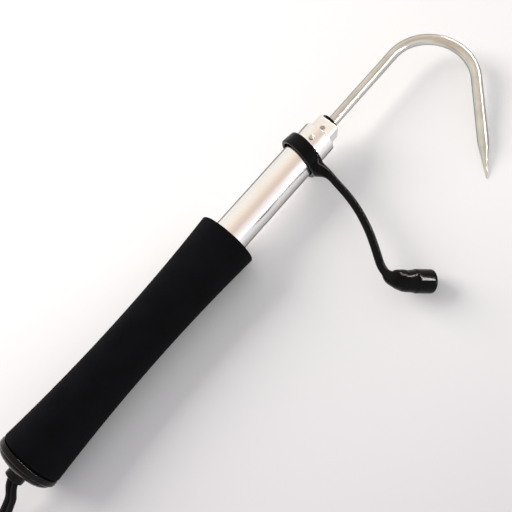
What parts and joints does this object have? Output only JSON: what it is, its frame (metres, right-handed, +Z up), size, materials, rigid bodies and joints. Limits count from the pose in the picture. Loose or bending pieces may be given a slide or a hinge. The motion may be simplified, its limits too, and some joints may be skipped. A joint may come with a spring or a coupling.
{
  "type": "telescopic fishing gaff",
  "caption": "Telescopic fishing gaff, collapsed: polished tube with waisted foam grip, butt cap with wrist lanyard, steel hook on a square block, and a ring-and-strap point guard.",
  "frame": {"origin": "on the surface that the gaff lies on, under the middle of its box without the lanyard", "axes": "+X runs along the pole from the butt to the hook, +Y away from the hook's side, +Z up; the pole's axis is level and the hook lies down toward -Y"},
  "size_m": [0.4115, 0.1227, 0.0328],
  "materials": {
    "polished_aluminium": "polished clear anodised",
    "satin_aluminium": "satin anodised",
    "stainless": "polished stainless rod",
    "zinc_steel": "zinc plated",
    "black_foam": "fine matte closed-cell foam",
    "gloss_black": "glossy moulded rubber",
    "cap_black": "glossy moulded plastic",
    "black_nylon": "moulded nylon",
    "black_cord": "woven polyester cord"
  },
  "bodies": {
    "handle": {"outer_tube": "polished_aluminium", "foam_grip": "black_foam", "butt_cap": "cap_black", "lanyard_knot": "black_cord", "lanyard": "black_cord", "stop_rivet_upper": "zinc_steel", "stop_rivet_lower": "zinc_steel"},
    "middle_cam": {"middle_lock_cam": "black_nylon"},
    "middle_section": {"middle_tube": "satin_aluminium", "middle_lock_plug": "black_nylon", "middle_lock_screw": "zinc_steel"},
    "inner_cam": {"inner_lock_cam": "black_nylon"},
    "hook_section": {"inner_tube": "satin_aluminium", "inner_lock_plug": "black_nylon", "inner_lock_screw": "zinc_steel", "hook_block": "satin_aluminium", "block_pin": "zinc_steel", "grub_screw": "zinc_steel", "hook": "stainless", "hook_washer": "gloss_black"},
    "guard": {"point_guard": "gloss_black"}
  },
  "joints": [
    {"name": "middle_extend", "type": "slide", "parent": "handle", "child": "middle_cam", "axis": [1, 0, 0], "range_m": [0, 0.1675]},
    {"name": "middle_twist", "type": "hinge", "parent": "middle_cam", "child": "middle_section", "pos_m": [-0.11672, 0.03947, 0.0164], "axis": [1, 0, 0], "range_deg": [-20, 20]},
    {"name": "hook_extend", "type": "slide", "parent": "middle_section", "child": "inner_cam", "axis": [1, 0, 0], "range_m": [0, 0.132]},
    {"name": "hook_twist", "type": "hinge", "parent": "inner_cam", "child": "hook_section", "pos_m": [-0.08453, 0.03947, 0.0164], "axis": [1, 0, 0], "range_deg": [-20, 20]},
    {"name": "guard_swing", "type": "hinge", "parent": "handle", "child": "guard", "pos_m": [0.05368, 0.03947, 0.0164], "axis": [1, 0, 0], "continuous": true}
  ]
}
